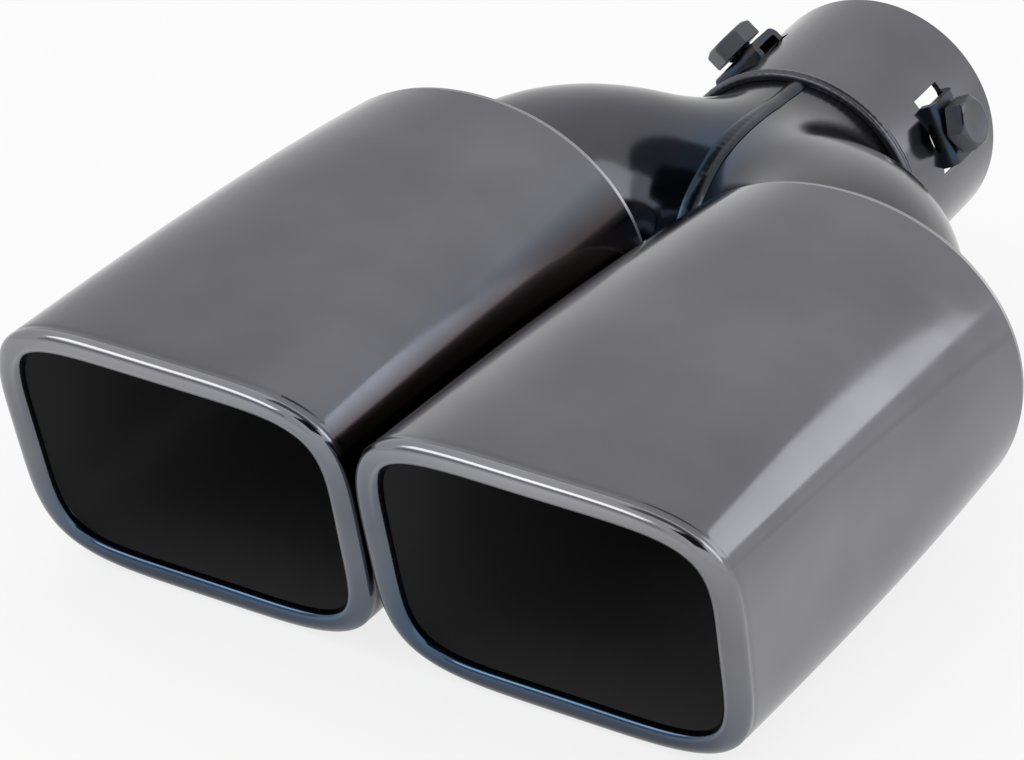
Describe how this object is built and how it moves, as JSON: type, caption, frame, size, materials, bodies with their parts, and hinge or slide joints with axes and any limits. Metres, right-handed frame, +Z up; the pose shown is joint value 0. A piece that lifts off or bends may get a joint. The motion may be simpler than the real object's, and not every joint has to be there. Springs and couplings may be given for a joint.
{
  "type": "dual outlet exhaust tip",
  "caption": "Twin-outlet exhaust tip: slotted clamp collar with set bolts, a welded Y of bent tubes, and wide rolled-lip outlet shells.",
  "frame": {"origin": "centre of the inlet collar's open end", "axes": "+Y points back along the part, out of the inlet; +Z is up as it lies on its outlets; +X is to the right seen from the front. The inlet's axis rises 6.3 degrees towards +Y."},
  "size_m": [0.1968, 0.2887, 0.0862],
  "materials": {
    "gunmetal_steel": "polished stainless tube under a dark gunmetal coat",
    "black_chrome_steel": "mirror polished stainless sheet under a black chrome coat",
    "weld_bead": "rippled weld under the same dark coat",
    "clip_steel": "folded steel strip, blued by its tack welds",
    "bolt_steel": "plain steel bolt with bright edges"
  },
  "bodies": {
    "tip": {"inlet_collar": "gunmetal_steel", "collar_weld": "weld_bead", "right_branch": "gunmetal_steel", "left_branch": "gunmetal_steel", "crotch_weld": "weld_bead", "right_end_plate": "gunmetal_steel", "left_end_plate": "gunmetal_steel", "right_branch_weld": "weld_bead", "left_branch_weld": "weld_bead", "right_shell": "black_chrome_steel", "left_shell": "black_chrome_steel", "clamp_clip_right": "clip_steel", "clamp_clip_left": "clip_steel", "clamp_clip_under": "clip_steel"},
    "bolt_right": {"clamp_bolt_right": "bolt_steel"},
    "bolt_left": {"clamp_bolt_left": "bolt_steel"},
    "bolt_under": {"clamp_bolt_under": "bolt_steel"}
  },
  "joints": [
    {"name": "bolt_right_travel", "type": "slide", "parent": "tip", "child": "bolt_right", "axis": [0.891, -0.0494, 0.4513], "range_m": [-0.0009, 0.002]},
    {"name": "bolt_left_travel", "type": "slide", "parent": "tip", "child": "bolt_left", "axis": [-0.7986, -0.0655, 0.5982], "range_m": [-0.0009, 0.002]},
    {"name": "bolt_under_travel", "type": "slide", "parent": "tip", "child": "bolt_under", "axis": [-0.0872, 0.1085, -0.9903], "range_m": [-0.0009, 0.002]}
  ]
}
